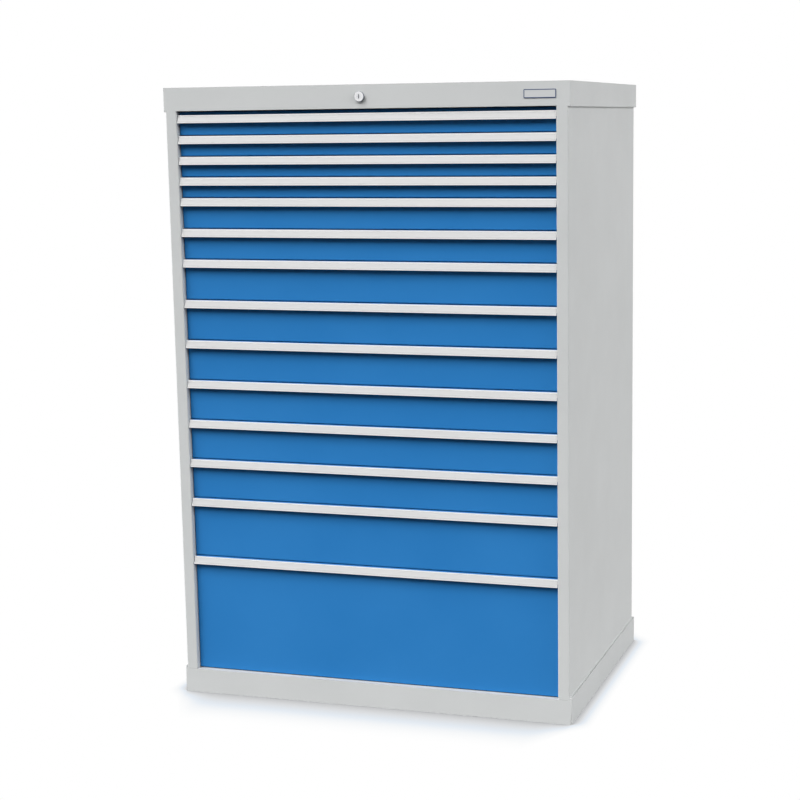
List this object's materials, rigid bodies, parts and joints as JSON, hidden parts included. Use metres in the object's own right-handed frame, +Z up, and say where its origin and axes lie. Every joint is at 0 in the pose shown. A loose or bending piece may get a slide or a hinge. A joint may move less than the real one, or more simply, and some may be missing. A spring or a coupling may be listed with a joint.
{
  "type": "multi-drawer cabinet",
  "caption": "Floor-standing sheet-steel workshop cabinet with stacked full-extension drawers behind full-width aluminium grip strips, and a central key lock in its top band.",
  "frame": {"origin": "on the floor, in the middle of the housing's footprint", "axes": "+Z up, -Y out of the drawer fronts, +X to the right of a person facing the fronts"},
  "size_m": [1.017, 0.743, 1.522],
  "materials": {
    "housing_paint": "satin light grey powder coat with a fine orange peel",
    "drawer_paint": "satin blue powder coat with a fine orange peel",
    "grip_aluminium": "satin natural anodised, drawn lengthwise",
    "zinc_steel": "bright zinc plated",
    "lock_chrome": "polished nickel chrome",
    "lock_steel": "fine turned steel",
    "plate_metal": "matt anodised bare plate with a dark edge"
  },
  "bodies": {
    "housing": {"side_panel_left": "housing_paint", "side_panel_right": "housing_paint", "back_panel": "housing_paint", "top_cap": "housing_paint", "base_plinth": "housing_paint", "floor_panel": "housing_paint", "uprights": "zinc_steel", "fixed_rails_left": "zinc_steel", "fixed_rails_right": "zinc_steel", "back_screws": "zinc_steel", "name_plate": "plate_metal", "lock_housing": "lock_chrome", "lock_nut": "zinc_steel", "shaft_bracket": "zinc_steel", "bar_guides": "zinc_steel"},
    "lock_core": {"lock_plug": "lock_steel", "lock_shaft": "zinc_steel"},
    "locking_bar": {"locking_bar": "zinc_steel"},
    "drawer_01": {"drawer_box_01": "drawer_paint", "handle_01": "grip_aluminium"},
    "slide_01": {"runner_01": "zinc_steel"},
    "drawer_02": {"drawer_box_02": "drawer_paint", "handle_02": "grip_aluminium"},
    "slide_02": {"runner_02": "zinc_steel"},
    "drawer_03": {"drawer_box_03": "drawer_paint", "handle_03": "grip_aluminium"},
    "slide_03": {"runner_03": "zinc_steel"},
    "drawer_04": {"drawer_box_04": "drawer_paint", "handle_04": "grip_aluminium"},
    "slide_04": {"runner_04": "zinc_steel"},
    "drawer_05": {"drawer_box_05": "drawer_paint", "handle_05": "grip_aluminium"},
    "slide_05": {"runner_05": "zinc_steel"},
    "drawer_06": {"drawer_box_06": "drawer_paint", "handle_06": "grip_aluminium"},
    "slide_06": {"runner_06": "zinc_steel"},
    "drawer_07": {"drawer_box_07": "drawer_paint", "handle_07": "grip_aluminium"},
    "slide_07": {"runner_07": "zinc_steel"},
    "drawer_08": {"drawer_box_08": "drawer_paint", "handle_08": "grip_aluminium"},
    "slide_08": {"runner_08": "zinc_steel"},
    "drawer_09": {"drawer_box_09": "drawer_paint", "handle_09": "grip_aluminium"},
    "slide_09": {"runner_09": "zinc_steel"},
    "drawer_10": {"drawer_box_10": "drawer_paint", "handle_10": "grip_aluminium"},
    "slide_10": {"runner_10": "zinc_steel"},
    "drawer_11": {"drawer_box_11": "drawer_paint", "handle_11": "grip_aluminium"},
    "slide_11": {"runner_11": "zinc_steel"},
    "drawer_12": {"drawer_box_12": "drawer_paint", "handle_12": "grip_aluminium"},
    "slide_12": {"runner_12": "zinc_steel"},
    "drawer_13": {"drawer_box_13": "drawer_paint", "handle_13": "grip_aluminium"},
    "slide_13": {"runner_13": "zinc_steel"},
    "drawer_14": {"drawer_box_14": "drawer_paint", "handle_14": "grip_aluminium"},
    "slide_14": {"runner_14": "zinc_steel"}
  },
  "joints": [
    {"name": "drawer_slide_01", "type": "slide", "parent": "housing", "child": "drawer_01", "axis": [0, -1, 0], "range_m": [0, 0.64]},
    {"name": "runner_slide_01", "type": "slide", "parent": "housing", "child": "slide_01", "axis": [0, -1, 0], "range_m": [0, 0.32]},
    {"name": "drawer_slide_02", "type": "slide", "parent": "housing", "child": "drawer_02", "axis": [0, -1, 0], "range_m": [0, 0.64]},
    {"name": "runner_slide_02", "type": "slide", "parent": "housing", "child": "slide_02", "axis": [0, -1, 0], "range_m": [0, 0.32]},
    {"name": "drawer_slide_03", "type": "slide", "parent": "housing", "child": "drawer_03", "axis": [0, -1, 0], "range_m": [0, 0.64]},
    {"name": "runner_slide_03", "type": "slide", "parent": "housing", "child": "slide_03", "axis": [0, -1, 0], "range_m": [0, 0.32]},
    {"name": "drawer_slide_04", "type": "slide", "parent": "housing", "child": "drawer_04", "axis": [0, -1, 0], "range_m": [0, 0.64]},
    {"name": "runner_slide_04", "type": "slide", "parent": "housing", "child": "slide_04", "axis": [0, -1, 0], "range_m": [0, 0.32]},
    {"name": "drawer_slide_05", "type": "slide", "parent": "housing", "child": "drawer_05", "axis": [0, -1, 0], "range_m": [0, 0.64]},
    {"name": "runner_slide_05", "type": "slide", "parent": "housing", "child": "slide_05", "axis": [0, -1, 0], "range_m": [0, 0.32]},
    {"name": "drawer_slide_06", "type": "slide", "parent": "housing", "child": "drawer_06", "axis": [0, -1, 0], "range_m": [0, 0.64]},
    {"name": "runner_slide_06", "type": "slide", "parent": "housing", "child": "slide_06", "axis": [0, -1, 0], "range_m": [0, 0.32]},
    {"name": "drawer_slide_07", "type": "slide", "parent": "housing", "child": "drawer_07", "axis": [0, -1, 0], "range_m": [0, 0.64]},
    {"name": "runner_slide_07", "type": "slide", "parent": "housing", "child": "slide_07", "axis": [0, -1, 0], "range_m": [0, 0.32]},
    {"name": "drawer_slide_08", "type": "slide", "parent": "housing", "child": "drawer_08", "axis": [0, -1, 0], "range_m": [0, 0.64]},
    {"name": "runner_slide_08", "type": "slide", "parent": "housing", "child": "slide_08", "axis": [0, -1, 0], "range_m": [0, 0.32]},
    {"name": "drawer_slide_09", "type": "slide", "parent": "housing", "child": "drawer_09", "axis": [0, -1, 0], "range_m": [0, 0.64]},
    {"name": "runner_slide_09", "type": "slide", "parent": "housing", "child": "slide_09", "axis": [0, -1, 0], "range_m": [0, 0.32]},
    {"name": "drawer_slide_10", "type": "slide", "parent": "housing", "child": "drawer_10", "axis": [0, -1, 0], "range_m": [0, 0.64]},
    {"name": "runner_slide_10", "type": "slide", "parent": "housing", "child": "slide_10", "axis": [0, -1, 0], "range_m": [0, 0.32]},
    {"name": "drawer_slide_11", "type": "slide", "parent": "housing", "child": "drawer_11", "axis": [0, -1, 0], "range_m": [0, 0.64]},
    {"name": "runner_slide_11", "type": "slide", "parent": "housing", "child": "slide_11", "axis": [0, -1, 0], "range_m": [0, 0.32]},
    {"name": "drawer_slide_12", "type": "slide", "parent": "housing", "child": "drawer_12", "axis": [0, -1, 0], "range_m": [0, 0.64]},
    {"name": "runner_slide_12", "type": "slide", "parent": "housing", "child": "slide_12", "axis": [0, -1, 0], "range_m": [0, 0.32]},
    {"name": "drawer_slide_13", "type": "slide", "parent": "housing", "child": "drawer_13", "axis": [0, -1, 0], "range_m": [0, 0.64]},
    {"name": "runner_slide_13", "type": "slide", "parent": "housing", "child": "slide_13", "axis": [0, -1, 0], "range_m": [0, 0.32]},
    {"name": "drawer_slide_14", "type": "slide", "parent": "housing", "child": "drawer_14", "axis": [0, -1, 0], "range_m": [0, 0.64]},
    {"name": "runner_slide_14", "type": "slide", "parent": "housing", "child": "slide_14", "axis": [0, -1, 0], "range_m": [0, 0.32]},
    {"name": "lock_turn", "type": "hinge", "parent": "housing", "child": "lock_core", "pos_m": [0, -0.368, 1.494], "axis": [0, 1, 0], "range_deg": [0, 90]},
    {"name": "bar_lift", "type": "slide", "parent": "housing", "child": "locking_bar", "axis": [0, 0, 1], "range_m": [0, 0.012]}
  ],
  "couplings": [
    {"joint": "runner_slide_01", "follows": "drawer_slide_01", "ratio": 0.5},
    {"joint": "runner_slide_02", "follows": "drawer_slide_02", "ratio": 0.5},
    {"joint": "runner_slide_03", "follows": "drawer_slide_03", "ratio": 0.5},
    {"joint": "runner_slide_04", "follows": "drawer_slide_04", "ratio": 0.5},
    {"joint": "runner_slide_05", "follows": "drawer_slide_05", "ratio": 0.5},
    {"joint": "runner_slide_06", "follows": "drawer_slide_06", "ratio": 0.5},
    {"joint": "runner_slide_07", "follows": "drawer_slide_07", "ratio": 0.5},
    {"joint": "runner_slide_08", "follows": "drawer_slide_08", "ratio": 0.5},
    {"joint": "runner_slide_09", "follows": "drawer_slide_09", "ratio": 0.5},
    {"joint": "runner_slide_10", "follows": "drawer_slide_10", "ratio": 0.5},
    {"joint": "runner_slide_11", "follows": "drawer_slide_11", "ratio": 0.5},
    {"joint": "runner_slide_12", "follows": "drawer_slide_12", "ratio": 0.5},
    {"joint": "runner_slide_13", "follows": "drawer_slide_13", "ratio": 0.5},
    {"joint": "runner_slide_14", "follows": "drawer_slide_14", "ratio": 0.5},
    {"joint": "lock_turn", "follows": "bar_lift", "rad_per_m": 130.9}
  ]
}
